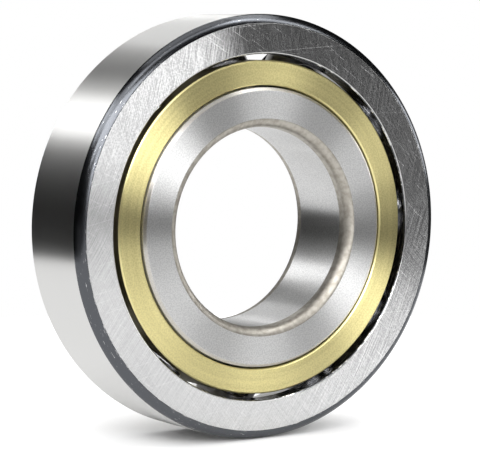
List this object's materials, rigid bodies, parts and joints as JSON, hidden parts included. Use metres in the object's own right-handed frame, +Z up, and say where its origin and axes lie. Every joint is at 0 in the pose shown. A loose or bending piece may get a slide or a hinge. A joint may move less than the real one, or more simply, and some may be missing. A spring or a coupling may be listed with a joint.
{
  "type": "angular contact ball bearing",
  "caption": "Angular contact ball bearing: an outer ring open on one side, an inner ring and steel balls in a machined brass cage.",
  "frame": {"origin": "centre of the bearing: on the bore's axis, halfway across the rings' width", "axes": "+Y along the bore's axis, from the wide marked face of the outer ring at -Y to its open side; +Z up as it stands on its rim; +X to the right seen from the wide face"},
  "size_m": [0.17, 0.039, 0.17],
  "materials": {
    "ring_steel": "hardened bearing steel, ground faces, bore and outside, dark heat-treated corners",
    "cage_brass": "turned brass, satin",
    "ball_steel": "lapped bearing steel, mirror bright"
  },
  "bodies": {
    "outer_ring": {"outer_ring": "ring_steel"},
    "inner_ring": {"inner_ring": "ring_steel"},
    "cage": {"cage": "cage_brass"},
    "ball_01": {"ball_01": "ball_steel"},
    "ball_02": {"ball_02": "ball_steel"},
    "ball_03": {"ball_03": "ball_steel"},
    "ball_04": {"ball_04": "ball_steel"},
    "ball_05": {"ball_05": "ball_steel"},
    "ball_06": {"ball_06": "ball_steel"},
    "ball_07": {"ball_07": "ball_steel"},
    "ball_08": {"ball_08": "ball_steel"},
    "ball_09": {"ball_09": "ball_steel"},
    "ball_10": {"ball_10": "ball_steel"},
    "ball_11": {"ball_11": "ball_steel"}
  },
  "joints": [
    {"name": "inner_spin", "type": "hinge", "parent": "outer_ring", "child": "inner_ring", "pos_m": [0, 0, 0], "axis": [0, 1, 0], "continuous": true},
    {"name": "cage_spin", "type": "hinge", "parent": "outer_ring", "child": "cage", "pos_m": [0, 0, 0], "axis": [0, 1, 0], "continuous": true},
    {"name": "ball_01_spin", "type": "hinge", "parent": "cage", "child": "ball_01", "pos_m": [0.02392, 0, 0.05774], "axis": [0.246, 0.766, 0.5939], "continuous": true},
    {"name": "ball_02_spin", "type": "hinge", "parent": "cage", "child": "ball_02", "pos_m": [0.05134, 0, 0.03565], "axis": [0.528, 0.766, 0.3666], "continuous": true},
    {"name": "ball_03_spin", "type": "hinge", "parent": "cage", "child": "ball_03", "pos_m": [0.06246, 0, 0.00223], "axis": [0.6424, 0.766, 0.0229], "continuous": true},
    {"name": "ball_04_spin", "type": "hinge", "parent": "cage", "child": "ball_04", "pos_m": [0.05375, 0, -0.03189], "axis": [0.5528, 0.766, -0.328], "continuous": true},
    {"name": "ball_05_spin", "type": "hinge", "parent": "cage", "child": "ball_05", "pos_m": [0.02798, 0, -0.05589], "axis": [0.2877, 0.766, -0.5748], "continuous": true},
    {"name": "ball_06_spin", "type": "hinge", "parent": "cage", "child": "ball_06", "pos_m": [-0.00668, 0, -0.06214], "axis": [-0.0687, 0.766, -0.6391], "continuous": true},
    {"name": "ball_07_spin", "type": "hinge", "parent": "cage", "child": "ball_07", "pos_m": [-0.03922, 0, -0.04867], "axis": [-0.4033, 0.766, -0.5005], "continuous": true},
    {"name": "ball_08_spin", "type": "hinge", "parent": "cage", "child": "ball_08", "pos_m": [-0.0593, 0, -0.01974], "axis": [-0.6099, 0.766, -0.203], "continuous": true},
    {"name": "ball_09_spin", "type": "hinge", "parent": "cage", "child": "ball_09", "pos_m": [-0.06056, 0, 0.01546], "axis": [-0.6228, 0.766, 0.159], "continuous": true},
    {"name": "ball_10_spin", "type": "hinge", "parent": "cage", "child": "ball_10", "pos_m": [-0.04259, 0, 0.04574], "axis": [-0.438, 0.766, 0.4705], "continuous": true},
    {"name": "ball_11_spin", "type": "hinge", "parent": "cage", "child": "ball_11", "pos_m": [-0.0111, 0, 0.06151], "axis": [-0.1141, 0.766, 0.6326], "continuous": true}
  ],
  "couplings": [
    {"joint": "cage_spin", "follows": "inner_spin", "ratio": 0.41488},
    {"joint": "ball_01_spin", "follows": "inner_spin", "ratio": -2.1846},
    {"joint": "ball_02_spin", "follows": "inner_spin", "ratio": -2.1846},
    {"joint": "ball_03_spin", "follows": "inner_spin", "ratio": -2.1846},
    {"joint": "ball_04_spin", "follows": "inner_spin", "ratio": -2.1846},
    {"joint": "ball_05_spin", "follows": "inner_spin", "ratio": -2.1846},
    {"joint": "ball_06_spin", "follows": "inner_spin", "ratio": -2.1846},
    {"joint": "ball_07_spin", "follows": "inner_spin", "ratio": -2.1846},
    {"joint": "ball_08_spin", "follows": "inner_spin", "ratio": -2.1846},
    {"joint": "ball_09_spin", "follows": "inner_spin", "ratio": -2.1846},
    {"joint": "ball_10_spin", "follows": "inner_spin", "ratio": -2.1846},
    {"joint": "ball_11_spin", "follows": "inner_spin", "ratio": -2.1846}
  ]
}
